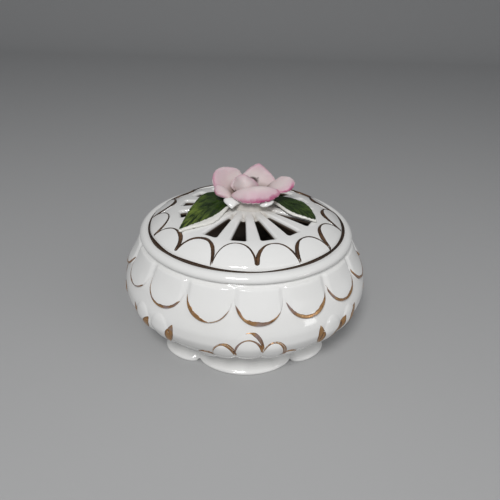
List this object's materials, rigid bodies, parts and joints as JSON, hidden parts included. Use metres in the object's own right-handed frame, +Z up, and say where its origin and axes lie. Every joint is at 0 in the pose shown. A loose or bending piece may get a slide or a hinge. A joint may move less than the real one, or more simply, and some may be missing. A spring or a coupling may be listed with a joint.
{
  "type": "openwork jewellery box",
  "caption": "Low round porcelain trinket box on a lobed foot, with a loose pierced lid carrying a modelled rose and leaves.",
  "frame": {"origin": "centre of the foot's resting plane", "axes": "+Z up along the box's axis, -Y to the front that the picture shows, +X to its right"},
  "size_m": [0.1182, 0.1182, 0.0779],
  "materials": {
    "glazed_porcelain": "clear gloss glaze over white porcelain",
    "rose_petal": "soft matte pink enamel over porcelain",
    "green_leaf": "glossy dark green enamel over porcelain",
    "gilding": "thin hand-painted burnished gold lines"
  },
  "bodies": {
    "bowl": {"bowl": "glazed_porcelain", "foot": "glazed_porcelain"},
    "lid": {"lid": "glazed_porcelain", "rose_base": "glazed_porcelain", "petal_heart": "rose_petal", "petal_centre": "rose_petal", "petal_back": "rose_petal", "petal_upper_left": "rose_petal", "petal_small_left": "rose_petal", "petal_right": "rose_petal", "petal_front": "rose_petal", "sepal_front_left": "glazed_porcelain", "sepal_front_right": "glazed_porcelain", "sepal_back": "glazed_porcelain", "leaf_left": "green_leaf", "leaf_right": "green_leaf"}
  },
  "joints": [
    {"name": "lid_lift", "type": "slide", "parent": "bowl", "child": "lid", "axis": [0, 0, 1], "range_m": [0, 0.06]}
  ]
}
